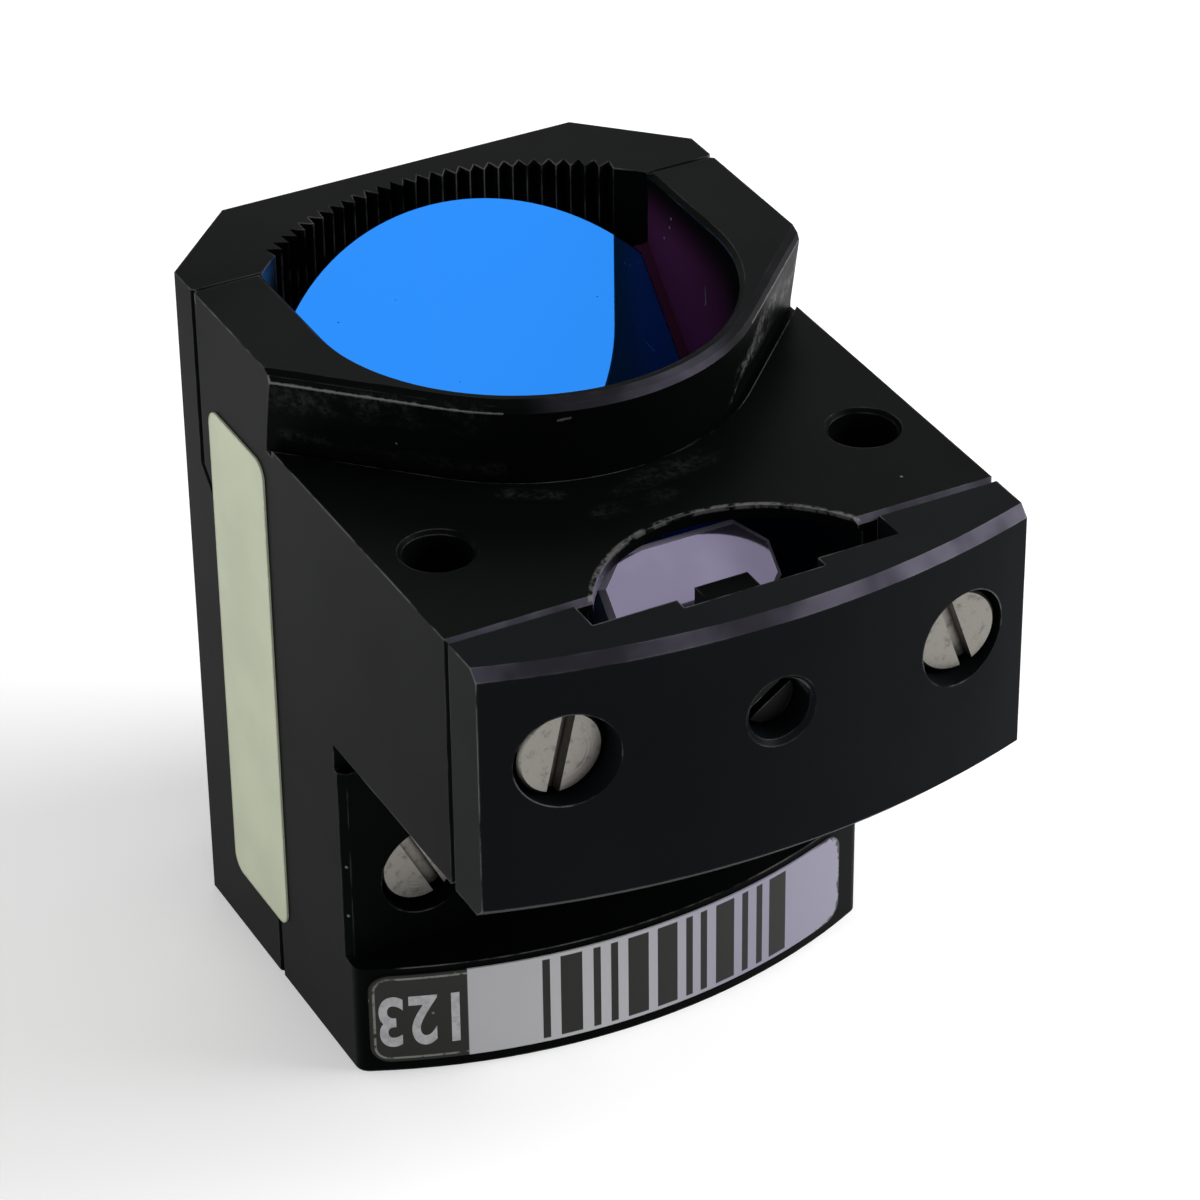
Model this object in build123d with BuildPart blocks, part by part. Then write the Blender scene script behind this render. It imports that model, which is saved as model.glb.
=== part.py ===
from build123d import *
import os
from math import radians, sqrt, tan

# Beam splitter module of a fluorescence microscope, in millimetres.
# Origin: centre of the lower light port in the base plane. +Z points up to the
# collar, -Y to the curved front plate, and X = 0 is the plane of symmetry.

# Overall sizes of the two halves
body_width = 36.0
body_height = 46.4
rear_reach = 16.9            # light axis to the rear face
rear_corner = 5.8            # chamfer of the two upright rear corners
upper_seam = 8.4             # upright joint of the halves beside the upper port
lower_seam = 0.3             # upright joint of the halves below the mirror
seam_break = 0.3             # chamfer along the joint on the outer faces
seam_line = 0.12             # chamfer along the joint on the top face

# Light ports
port_radius = 13.35          # upper port
light_radius = 8.5           # filter seats in the lower and rear ports
light_depth = 2.4            # depth of these seats
light_relief_width = 0.5     # groove in the corner of each seat
light_relief_depth = 0.25
aperture_radius = 7.9        # light channels behind the seats
port_break = 0.4             # chamfer of the lower and rear ports
rim_break = 0.3              # chamfer of the upper port

# Mirror on the 45 degree slope, with its carrier and pads behind it
mirror_depth = 13.4          # top face down to the mirror's centre
mirror_width = 25.2
mirror_thickness = 1.1
mirror_low = 12.2            # centre to the lower end, along the slope
mirror_high = 17.8           # centre to the round upper end, along the slope
mirror_end_radius = 15.45
mirror_clip = 4.0            # cut corners
carrier_thickness = 3.7
carrier_high = 15.6
carrier_window = 8.8         # half width of the oval window
pad_thickness = 0.3
pad_width = 4.0
pad_margin = 0.6             # pad to the carrier's long edge
pocket_clearance = 0.1

# Serrated wall behind the mirror
crest_radius = 18.0
groove_depth = 0.9
groove_count = 28
groove_pitch = 2.9           # degrees
groove_root = 0.2            # overlap of a groove's profile with the port
wall_depth = 3.3             # face of the mirror back to the wall's foot, across the slope

# Collar: 45 degree flanks tangent to a round nose, undercut as a dovetail
collar_height = 5.5
collar_reach = 14.64         # light axis to the widest line of the flank
collar_foot = 13.95          # light axis to the flank at the ledge
collar_bevel_width = 0.3
collar_bevel_height = 0.67
relief_width = 0.55          # groove in the ledge round the collar's foot
relief_depth = 0.4

# Front block with the ledge on top
block_reach = 25.9
block_height = 17.0
block_break = 0.35
ledge_hole_radius = 2.1
ledge_hole_depth = 8.0
ledge_hole_break = 0.25
ledge_hole_edge = 3.8        # side face to the hole's axis
ledge_hole_reach = 17.1
notch_radius = 9.8           # arc notch in the ledge
notch_axis_reach = 30.4
well_floor_wall = 1.5        # wall under the upper port inside the front block

# Light trap cavity behind the front plate
cavity_width = 18.0
cavity_floor_wall = 2.0
cavity_roof_wall = 0.9

# Lower block and foot
lower_reach = 10.25
lower_corner = 0.45
inner_relief_height = 1.9    # groove in the corner under the front block
inner_relief_depth = 0.8
foot_reach = 15.5
foot_height = 8.0
foot_corner = 1.0
turret_axis = 25.2           # light axis back to the centre line of both curved fronts

# Front plate
plate_reach = 32.4
plate_height = 17.1
plate_bevel = 0.65
plate_rear_break = 0.2
pocket_depth = 4.0           # stepped pocket in the plate's rear
pocket_wide = 20.0
pocket_wide_reach = 28.3
pocket_narrow = 9.2
pocket_narrow_reach = 29.2

# Slotted cheese-head screws and the holes they sit in
screw_radius = 1.5
head_radius = 2.75
head_height = 2.0
head_break = 0.2
slot_width = 0.85
slot_depth = 0.9
thread_clearance = 0.03
shank_clearance = 0.2
counterbore_radius = 3.1
hole_spare = 0.6             # hole left beyond a screw's tip
plate_screw_edge = 5.0       # side face to the screw's axis
plate_screw_drop = 12.2      # top face down to the plate's screws
plate_screw_length = 6.0
plate_seat_reach = 28.0      # light axis to the seat of the plate's screws
plate_slot_angles = (12.6, -19.0)
body_screw_edge = 5.6        # side face to the screw's axis
body_screw_drop = 33.3
body_screw_length = 14.0
body_seat_reach = 7.4
body_slot_angles = (-27.0, 35.0)

# Set screw in the middle of the plate
set_screw_radius = 2.0
set_screw_recess = 1.7
set_screw_slot_width = 0.6
set_screw_slot_depth = 0.8
set_screw_slot_angle = 55.0
set_screw_break = 0.35

# Dowels across the upper seam
dowel_radius = 1.0
dowel_length = 6.0
dowel_edge = 2.4             # side face to the dowel's axis
dowel_drop = 3.0

# Bevelled glass of the light trap, on its holder
trap_width = 11.4
trap_length = 5.8
trap_thickness = 2.5
trap_clip = 1.8
trap_bevel = 0.35
trap_top_reach = 19.7        # light axis forward to the glass's upper edge
trap_top_drop = 7.3          # top face down to that edge
holder_width = 8.8
holder_lip = 1.7
holder_lip_drop = 10.0       # top face down to the lip in front of the glass
holder_gap = 0.2             # plate's rear face to the holder
tab_width = 3.5              # tab on the lip
tab_height = 1.8
tab_shift = 0.65             # plane of symmetry to the tab's middle

# Printed films
film_thickness = 0.12
film_corner = 1.2
side_film_width = 8.0
side_film_length = 34.7
side_film_reach = 2.8        # light axis back to the film's centre line
side_film_base = 4.5
foot_film_margin = 1.3       # side face to the film's end, on average
foot_film_shift = 0.7        # plane of symmetry to the film's middle, leftwards
foot_film_height = 6.7
foot_film_base = 0.8
glue_line = 0.02

# Places worked out from the sizes above
half_width = body_width / 2
ledge_z = body_height - collar_height
block_z = ledge_z - block_height
mirror_z = body_height - mirror_depth
stack = mirror_thickness + carrier_thickness + pad_thickness
seam_rise = mirror_z - stack * sqrt(2)
crest_centre = upper_seam - sqrt(crest_radius**2 - port_radius**2)
first_groove = 90 - groove_pitch * (groove_count - 1) / 2
groove_half = crest_radius * tan(radians(groove_pitch / 2))
bevel_z = body_height - collar_bevel_height
cavity_floor_z = block_z + cavity_floor_wall
cavity_roof_z = ledge_z - cavity_roof_wall
well_floor_z = block_z + well_floor_wall
plate_z = ledge_z - plate_height
plate_radius = turret_axis + plate_reach
foot_radius = turret_axis + foot_reach
plate_screw_x = half_width - plate_screw_edge
plate_screw_z = body_height - plate_screw_drop
body_screw_x = half_width - body_screw_edge
body_screw_z = body_height - body_screw_drop
dowel_x = half_width - dowel_edge
dowel_z = body_height - dowel_drop
trap_top_z = body_height - trap_top_drop
set_screw_front = plate_reach - set_screw_recess
holder_front = block_reach - holder_gap
set_screw_length = set_screw_front - holder_front
trap_back_rise = trap_top_z + trap_top_reach - trap_thickness * sqrt(2)
holder_back = trap_top_reach - trap_thickness / sqrt(2)
lip_back = holder_front - holder_lip
lip_z = body_height - holder_lip_drop
tolerance = 0.01             # for picking edges by their place

mirror_plane = Plane(origin=(0, 0, mirror_z), x_dir=(1, 0, 0), z_dir=(0, -1, 1))
trap_plane = Plane(origin=(0, -trap_top_reach, trap_top_z), x_dir=(1, 0, 0), z_dir=(0, -1, 1))


def facing_front(x, y, z):
    """A plane whose holes run to the rear and whose heads point to the front."""
    return Plane(origin=(x, y, z), x_dir=(1, 0, 0), z_dir=(0, -1, 0))


def slope_plate(low, high, front, thickness, margin):
    """Raise a plate with cut lower corners and a round upper end on the slope."""
    with BuildSketch(mirror_plane.offset(-front)) as outline:
        with Locations((0, (high - low) / 2)):
            Rectangle(mirror_width + 2 * margin, high + low + 2 * margin)
        chamfer(outline.vertices().group_by(Axis.Z)[0], length=mirror_clip)
        with Locations((0, high - mirror_end_radius)):
            Circle(mirror_end_radius + margin, mode=Mode.INTERSECT)
    extrude(outline.sketch, amount=-thickness)


def carrier_pad(side):
    """Raise one felt strip behind the carrier, beside its window."""
    slope_plate(mirror_low, carrier_high, mirror_thickness + carrier_thickness, pad_thickness,
                -pad_margin)
    with BuildSketch(mirror_plane) as strip:
        with Locations((side * (mirror_width / 2 - pad_margin - pad_width / 2), 0)):
            Rectangle(pad_width, 2 * mirror_high)
    extrude(strip.sketch, amount=-stack, mode=Mode.INTERSECT)


def dowel(side):
    """Raise one dowel across the upper seam."""
    with Locations(facing_front(side * dowel_x, upper_seam, dowel_z)):
        Cylinder(dowel_radius, dowel_length)


def collar_layer(low_reach, low_z, high_reach, high_z):
    """Raise a layer of the collar: straight sides, 45 degree flanks and the nose."""
    sections = []
    for reach, z in ((low_reach, low_z), (high_reach, high_z)):
        tangent = reach / sqrt(2)
        side = half_width - reach * sqrt(2)
        with BuildSketch(Plane.XY.offset(z)) as section:
            with BuildLine() as outline:
                Polyline((tangent, -tangent), (half_width, side), (half_width, upper_seam),
                         (-half_width, upper_seam), (-half_width, side), (-tangent, -tangent))
                ThreePointArc((-tangent, -tangent), (0, -reach), (tangent, -tangent))
            make_face(outline.edges())
        sections.append(section.sketch.face())
    loft(sections, ruled=True)


def curved_block(radius, reach, back, base, height, corner=0):
    """Raise a block whose front is an arc about the turret's axis."""
    with BuildSketch(Plane.XY.offset(base)) as outline:
        with Locations((0, turret_axis)):
            Circle(radius)
        with Locations((0, -(reach + back) / 2)):
            Rectangle(body_width, reach - back, mode=Mode.INTERSECT)
        if corner:
            fillet(outline.vertices().group_by(Axis.Y)[0], radius=corner)
    extrude(outline.sketch, amount=height)


def break_joint(half):
    """Chamfer the joint of the two halves on the outer side faces and on the top."""
    def on_side_joint(edge):
        middle = edge.center()
        on_side = abs(abs(middle.X) - half_width) < tolerance
        upright = min(abs(middle.Y - upper_seam), abs(middle.Y - lower_seam)) < tolerance
        return on_side and (upright or abs(middle.Z - middle.Y - seam_rise) < tolerance)

    chamfer(half.edges().filter_by(on_side_joint), length=seam_break)
    top_edge = half.edges().filter_by(Axis.X).filter_by(
        lambda edge: abs(edge.center().Y - upper_seam) < tolerance
        and abs(edge.center().Z - body_height) < tolerance)
    chamfer(top_edge, length=seam_line)


def light_port(mouth):
    """Bore a light channel inwards from a plane on its mouth, with a filter seat."""
    with Locations(mouth):
        Hole(aperture_radius, depth=mirror_z)
        CounterSinkHole(light_radius, light_radius + port_break, depth=light_depth,
                        counter_sink_angle=90)
        with Locations((0, 0, -light_depth)):
            Cylinder(light_radius + light_relief_depth, light_relief_width,
                     align=(Align.CENTER, Align.CENTER, Align.MIN), mode=Mode.SUBTRACT)


def cheese_head_screw(length, slot_angle):
    """A slotted screw seated at its origin, with its head on +Z."""
    with BuildPart() as screw:
        Cylinder(head_radius, head_height, align=(Align.CENTER, Align.CENTER, Align.MIN))
        chamfer(screw.edges().sort_by(Axis.Z)[-1], length=head_break)
        Cylinder(screw_radius, length, align=(Align.CENTER, Align.CENTER, Align.MAX))
        tip = screw.faces().sort_by(Axis.Z)[0]
        chamfer(tip.edges(), length=head_break)
        with BuildSketch(Plane.XY.offset(head_height)):
            Rectangle(slot_width, 3 * head_radius, rotation=-slot_angle)
        extrude(amount=-slot_depth, mode=Mode.SUBTRACT)
    return screw.part


os.makedirs("parts", exist_ok=True)

# Air above the mirror inside the front half
with BuildPart() as front_well:
    with BuildSketch(Plane.XY.offset(well_floor_z)):
        Circle(port_radius)
        with Locations((0, upper_seam / 2)):
            Rectangle(2 * port_radius, upper_seam)
    extrude(amount=body_height - well_floor_z)
    split(bisect_by=mirror_plane, keep=Keep.TOP)

# Air above the mirror inside the rear half, with the V grooves of its wall
with BuildPart() as serrated_well:
    with BuildSketch(Plane.XY.offset(mirror_z)):
        with Locations((0, crest_centre)):
            Circle(crest_radius)
            with PolarLocations(crest_radius, groove_count, start_angle=first_groove,
                                angular_range=groove_pitch * (groove_count - 1), endpoint=True):
                Polygon((-groove_root, -groove_half), (0, -groove_half), (groove_depth, 0),
                        (0, groove_half), (-groove_root, groove_half), align=None)
        with Locations((0, upper_seam + crest_radius / 2)):
            Rectangle(body_width, crest_radius, mode=Mode.INTERSECT)
    extrude(amount=body_height - mirror_z, both=True)
    split(bisect_by=mirror_plane.offset(-wall_depth), keep=Keep.TOP)

# Pocket on the slope for the mirror, then for its carrier and pads
with BuildPart() as mirror_pocket:
    slope_plate(mirror_low, mirror_high, 0, mirror_thickness, pocket_clearance)
    slope_plate(mirror_low, carrier_high, mirror_thickness, stack - mirror_thickness,
                pocket_clearance)

with BuildPart() as front_body:
    # Side profile below the ledge, from the slope of the joint to the front block
    with BuildSketch(Plane.YZ):
        with BuildLine():
            Polyline((upper_seam, seam_rise + upper_seam), (upper_seam, ledge_z),
                     (-block_reach, ledge_z), (-block_reach, block_z),
                     (-lower_reach, block_z), (-lower_reach, 0), (lower_seam, 0),
                     (lower_seam, seam_rise + lower_seam), close=True)
        make_face()
    extrude(amount=half_width, both=True)
    chamfer(front_body.faces().sort_by(Axis.Y)[0].edges(), length=block_break)
    lower_corners = front_body.edges().filter_by(Axis.Z).filter_by(
        lambda edge: abs(edge.center().Y + lower_reach) < tolerance)
    chamfer(lower_corners, length=lower_corner)

    # Foot with its curved front
    curved_block(foot_radius, foot_reach, 0, 0, foot_height, foot_corner)

    # Relief groove in the ledge, the undercut flank and the bevel of the collar
    with BuildPart(mode=Mode.PRIVATE) as relief:
        collar_layer(collar_foot + relief_width, ledge_z - relief_depth,
                     collar_foot + relief_width, ledge_z)
    add(relief.part, mode=Mode.SUBTRACT)
    collar_layer(collar_foot, ledge_z - relief_depth, collar_foot, ledge_z)
    collar_layer(collar_foot, ledge_z, collar_reach, bevel_z)
    collar_layer(collar_reach, bevel_z, collar_reach - collar_bevel_width, body_height)
    break_joint(front_body)

    # Upper port with a broken rim, the mirror's pocket and the lower port
    add(front_well.part, mode=Mode.SUBTRACT)
    rim = front_body.edges().filter_by(
        lambda edge: abs(edge.center().Z - body_height) < tolerance
        and edge.bounding_box().max.X < port_radius + tolerance
        and edge.bounding_box().min.X > -port_radius - tolerance)
    chamfer(rim, length=rim_break)
    add(mirror_pocket.part, mode=Mode.SUBTRACT)
    light_port(Plane(origin=(0, 0, 0), z_dir=(0, 0, -1)))

    # Light trap cavity, open to the front and to the upper port, and its notch
    with BuildSketch(Plane.XY.offset(cavity_floor_z)):
        with Locations((0, -(block_reach + aperture_radius) / 2)):
            Rectangle(cavity_width, block_reach - aperture_radius)
    extrude(amount=cavity_roof_z - cavity_floor_z, mode=Mode.SUBTRACT)
    with BuildSketch(Plane.XY.offset(cavity_roof_z)):
        with Locations((0, -notch_axis_reach)):
            Circle(notch_radius)
    extrude(amount=cavity_roof_wall, mode=Mode.SUBTRACT)

    # Groove in the corner under the front block
    with BuildSketch(Plane.YZ):
        with Locations((-lower_reach, block_z)):
            Rectangle(inner_relief_depth, inner_relief_height, align=(Align.MIN, Align.MAX))
    extrude(amount=half_width, both=True, mode=Mode.SUBTRACT)

    # Holes in the ledge
    with Locations(Plane.XY.offset(ledge_z)):
        with Locations((0, -ledge_hole_reach)):
            with GridLocations(body_width - 2 * ledge_hole_edge, 0, 2, 1):
                CounterSinkHole(ledge_hole_radius, ledge_hole_radius + ledge_hole_break,
                                depth=ledge_hole_depth, counter_sink_angle=90)

    # Threaded holes for the plate, stepped holes for the body screws, dowel holes
    for side in (-1, 1):
        with Locations(facing_front(side * plate_screw_x, -block_reach, plate_screw_z)):
            Hole(screw_radius + thread_clearance,
                 depth=block_reach - plate_seat_reach + plate_screw_length + hole_spare)
        with Locations(facing_front(side * body_screw_x, -lower_reach, body_screw_z)):
            CounterBoreHole(screw_radius + shank_clearance, counterbore_radius,
                            counter_bore_depth=lower_reach - body_seat_reach,
                            depth=lower_reach + lower_seam)
        with Locations(facing_front(side * dowel_x, upper_seam - dowel_length / 2,
                                    dowel_z)):
            Hole(dowel_radius, depth=dowel_length / 2)

with BuildPart() as rear_body:
    # Side profile behind the joint
    with BuildSketch(Plane.YZ):
        with BuildLine():
            Polyline((upper_seam, seam_rise + upper_seam), (upper_seam, body_height),
                     (rear_reach, body_height), (rear_reach, 0), (lower_seam, 0),
                     (lower_seam, seam_rise + lower_seam), close=True)
        make_face()
    extrude(amount=half_width, both=True)
    chamfer(rear_body.edges().filter_by(Axis.Z).group_by(Axis.Y)[-1], length=rear_corner)
    break_joint(rear_body)

    # Serrated upper port, the mirror's pocket, and the lower and rear ports
    add(serrated_well.part, mode=Mode.SUBTRACT)
    add(mirror_pocket.part, mode=Mode.SUBTRACT)
    light_port(Plane(origin=(0, 0, 0), z_dir=(0, 0, -1)))
    light_port(Plane(origin=(0, rear_reach, mirror_z), x_dir=(1, 0, 0), z_dir=(0, 1, 0)))

    # Threaded holes for the body screws and holes for the dowels
    for side in (-1, 1):
        with Locations(facing_front(side * body_screw_x, lower_seam, body_screw_z)):
            Hole(screw_radius + thread_clearance,
                 depth=body_screw_length - body_seat_reach - lower_seam + hole_spare)
        with Locations(facing_front(side * dowel_x, upper_seam, dowel_z)):
            Hole(dowel_radius, depth=dowel_length / 2)

with BuildPart() as front_plate:
    # Curved front with bevelled upper and lower edges
    curved_block(plate_radius, plate_reach, block_reach, plate_z, plate_height)
    chamfer(front_plate.edges().filter_by(GeomType.CIRCLE), length=plate_bevel)
    chamfer(front_plate.faces().sort_by(Axis.Y)[-1].edges(), length=plate_rear_break)

    # Stepped pocket in the rear, open at the top
    with BuildSketch(Plane.XY.offset(ledge_z)):
        with Locations((0, -block_reach)):
            Rectangle(pocket_wide, pocket_wide_reach - block_reach,
                      align=(Align.CENTER, Align.MAX))
            Rectangle(pocket_narrow, pocket_narrow_reach - block_reach,
                      align=(Align.CENTER, Align.MAX))
    extrude(amount=-pocket_depth, mode=Mode.SUBTRACT)

    # Stepped holes of the two screws and the threaded hole between them
    for side in (-1, 1):
        with Locations(facing_front(side * plate_screw_x, -plate_reach, plate_screw_z)):
            CounterBoreHole(screw_radius + shank_clearance, counterbore_radius,
                            counter_bore_depth=plate_reach - plate_seat_reach,
                            depth=plate_reach - block_reach)
    with Locations(facing_front(0, -plate_reach, plate_screw_z)):
        CounterSinkHole(set_screw_radius + thread_clearance, set_screw_radius + set_screw_break,
                        depth=plate_reach - block_reach, counter_sink_angle=90)

with BuildPart() as plate_screw_left:
    with Locations(facing_front(-plate_screw_x, -plate_seat_reach, plate_screw_z)):
        add(cheese_head_screw(plate_screw_length, plate_slot_angles[0]))

with BuildPart() as plate_screw_right:
    with Locations(facing_front(plate_screw_x, -plate_seat_reach, plate_screw_z)):
        add(cheese_head_screw(plate_screw_length, plate_slot_angles[1]))

with BuildPart() as body_screw_left:
    with Locations(facing_front(-body_screw_x, -body_seat_reach, body_screw_z)):
        add(cheese_head_screw(body_screw_length, body_slot_angles[0]))

with BuildPart() as body_screw_right:
    with Locations(facing_front(body_screw_x, -body_seat_reach, body_screw_z)):
        add(cheese_head_screw(body_screw_length, body_slot_angles[1]))

with BuildPart() as trap_set_screw:
    with Locations(facing_front(0, -set_screw_front, plate_screw_z)):
        Cylinder(set_screw_radius, set_screw_length,
                 align=(Align.CENTER, Align.CENTER, Align.MAX))
    chamfer(trap_set_screw.edges().filter_by(GeomType.CIRCLE), length=set_screw_break)
    with BuildSketch(facing_front(0, -set_screw_front, plate_screw_z)):
        Rectangle(set_screw_slot_width, 3 * set_screw_radius, rotation=-set_screw_slot_angle)
    extrude(amount=-set_screw_slot_depth, mode=Mode.SUBTRACT)

with BuildPart() as dowel_left:
    dowel(-1)

with BuildPart() as dowel_right:
    dowel(1)

with BuildPart() as dichroic_mirror:
    slope_plate(mirror_low, mirror_high, 0, mirror_thickness, 0)

with BuildPart() as mirror_carrier:
    slope_plate(mirror_low, carrier_high, mirror_thickness, carrier_thickness, 0)
    with BuildSketch(mirror_plane):
        Ellipse(carrier_window, carrier_window * sqrt(2))
    extrude(amount=-stack, mode=Mode.SUBTRACT)

with BuildPart() as carrier_pad_left:
    carrier_pad(-1)

with BuildPart() as carrier_pad_right:
    carrier_pad(1)

with BuildPart() as trap_glass:
    with BuildSketch(trap_plane) as trap_outline:
        Rectangle(trap_width, trap_length, align=(Align.CENTER, Align.MAX))
        chamfer(trap_outline.vertices(), length=trap_clip)
    extrude(amount=-trap_thickness)
    trap_face = trap_glass.faces().sort_by(Axis((0, 0, 0), (0, -1, 1)))[-1]
    chamfer(trap_face.edges(), length=trap_bevel)

with BuildPart() as trap_holder:
    with BuildSketch(Plane.YZ):
        with BuildLine():
            Polyline((-holder_front, cavity_floor_z), (-holder_front, lip_z), (-lip_back, lip_z),
                     (-lip_back, trap_back_rise - lip_back),
                     (-holder_back, trap_back_rise - holder_back),
                     (-holder_back, cavity_floor_z), close=True)
        make_face()
    extrude(amount=holder_width / 2, both=True)
    with Locations((tab_shift, -holder_front, lip_z)):
        Box(tab_width, holder_lip, tab_height, align=(Align.CENTER, Align.MIN, Align.MIN))

with BuildPart() as side_label:
    with BuildSketch(Plane.YZ.offset(-half_width)):
        with Locations((side_film_reach, side_film_base + side_film_length / 2)):
            RectangleRounded(side_film_width, side_film_length, film_corner)
    extrude(amount=-film_thickness)

with BuildPart() as foot_label:
    with BuildSketch(Plane.XY.offset(foot_film_base)):
        with Locations((0, turret_axis)):
            Circle(foot_radius + glue_line + film_thickness)
            Circle(foot_radius + glue_line, mode=Mode.SUBTRACT)
    extrude(amount=foot_film_height)
    with BuildSketch(Plane.XZ):
        with Locations((-foot_film_shift, foot_film_base + foot_film_height / 2)):
            RectangleRounded(body_width - 2 * foot_film_margin, foot_film_height, film_corner)
    extrude(amount=foot_radius, mode=Mode.INTERSECT)

front_body.part.label = "front_body"
rear_body.part.label = "rear_body"
front_plate.part.label = "front_plate"
plate_screw_left.part.label = "plate_screw_left"
plate_screw_right.part.label = "plate_screw_right"
body_screw_left.part.label = "body_screw_left"
body_screw_right.part.label = "body_screw_right"
trap_set_screw.part.label = "trap_set_screw"
dowel_left.part.label = "dowel_left"
dowel_right.part.label = "dowel_right"
dichroic_mirror.part.label = "dichroic_mirror"
mirror_carrier.part.label = "mirror_carrier"
carrier_pad_left.part.label = "carrier_pad_left"
carrier_pad_right.part.label = "carrier_pad_right"
trap_glass.part.label = "trap_glass"
trap_holder.part.label = "trap_holder"
side_label.part.label = "side_label"
foot_label.part.label = "foot_label"

export_step(front_body.part, "parts/front_body.step")
export_step(rear_body.part, "parts/rear_body.step")
export_step(front_plate.part, "parts/front_plate.step")
export_step(plate_screw_left.part, "parts/plate_screw_left.step")
export_step(plate_screw_right.part, "parts/plate_screw_right.step")
export_step(body_screw_left.part, "parts/body_screw_left.step")
export_step(body_screw_right.part, "parts/body_screw_right.step")
export_step(trap_set_screw.part, "parts/trap_set_screw.step")
export_step(dowel_left.part, "parts/dowel_left.step")
export_step(dowel_right.part, "parts/dowel_right.step")
export_step(dichroic_mirror.part, "parts/dichroic_mirror.step")
export_step(mirror_carrier.part, "parts/mirror_carrier.step")
export_step(carrier_pad_left.part, "parts/carrier_pad_left.step")
export_step(carrier_pad_right.part, "parts/carrier_pad_right.step")
export_step(trap_glass.part, "parts/trap_glass.step")
export_step(trap_holder.part, "parts/trap_holder.step")
export_step(side_label.part, "parts/side_label.step")
export_step(foot_label.part, "parts/foot_label.step")
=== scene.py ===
from math import asin, cos, radians, sin

import bmesh
import bpy
from bpy.props import FloatProperty, FloatVectorProperty, PointerProperty, StringProperty
from mathutils import Matrix, Vector


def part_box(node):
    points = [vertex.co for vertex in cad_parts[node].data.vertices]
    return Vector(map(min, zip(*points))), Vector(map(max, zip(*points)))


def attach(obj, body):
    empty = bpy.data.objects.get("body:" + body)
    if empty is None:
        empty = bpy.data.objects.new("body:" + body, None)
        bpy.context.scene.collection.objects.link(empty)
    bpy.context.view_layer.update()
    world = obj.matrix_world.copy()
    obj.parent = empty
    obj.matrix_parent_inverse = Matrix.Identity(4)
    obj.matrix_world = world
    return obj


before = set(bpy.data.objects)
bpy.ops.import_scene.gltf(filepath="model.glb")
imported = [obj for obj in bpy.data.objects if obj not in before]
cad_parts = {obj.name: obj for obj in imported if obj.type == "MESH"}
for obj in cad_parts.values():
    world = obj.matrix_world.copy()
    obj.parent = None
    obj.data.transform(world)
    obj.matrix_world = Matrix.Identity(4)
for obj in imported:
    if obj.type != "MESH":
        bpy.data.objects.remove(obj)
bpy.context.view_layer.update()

bl_info = {
    "name": "Dichroic mirror module",
    "version": (1, 0, 0),
    "blender": (4, 5, 0),
    "location": "3D View > Sidebar > Mirror Module",
    "description": "Finishes, printed labels and studio stage for a microscope's beam splitter module",
    "category": "Object",
}

MM = 0.001

# Places in the CAD frame, in metres
TURRET_AXIS = 0.0252         # centre line of the curved plate and of the foot
PORT_LIMIT = 0.0137          # just outside the upper port's wall and its chamfer
PORT_TOP = 0.0460            # foot of the upper port's chamfer
WALL_FADE = 0.0425           # below this height the painted purple light on the port's wall is full
COLLAR_EDGE = 0.0454         # just below the bevel round the collar's top
MIRROR_CENTRE = 0.0330       # height at which the mirror crosses the light axis
LEDGE_FRONT = 0.0254         # light axis forward to the chamfer on the ledge's front edge
LEDGE_EDGE = 0.0402          # just below that chamfer
LEDGE_TOP = 0.0407           # just below the ledge's face
PLATE_BEVEL = 0.0395         # just below the bevel on the plate's upper edge
NOTCH_AXIS = 0.0304          # light axis forward to the centre of the ledge's notch
NOTCH_RADIUS = 0.0098
TRAP_HOLE_HEIGHT = 0.0342    # middle hole of the plate
TRAP_HOLE_RIM = 0.00205
TRAP_FACE = (0.0, -0.7071, 0.7071)
FILM_CORNER = 0.0012         # round corners of both films
FRAME_INSET = 0.00028        # film's edge to the pale line round the dark field
AIM_HEIGHT = 0.02            # the lamps point at this height of the light axis

# Shape of the numbers
FONT_SIZE = 1.42             # size of the font to the height of its numbers
NUMBER_SPACING = 1.08
NUMBER_BOLDNESS = 0.030      # share of the height that the strokes gain on each side
NUMBER_RELIEF = 0.00001
NUMBER_SHIFT = 0.00025       # middle of the dark field to the middle of the numbers

FLOAT = "NodeSocketFloat"
VECTOR = "NodeSocketVector"

INNER_NODES = ("trap_holder", "mirror_carrier")
STEEL_NODES = ("plate_screw_left", "plate_screw_right", "body_screw_left", "body_screw_right",
               "dowel_left", "dowel_right")
FELT_NODES = ("carrier_pad_left", "carrier_pad_right")


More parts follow.
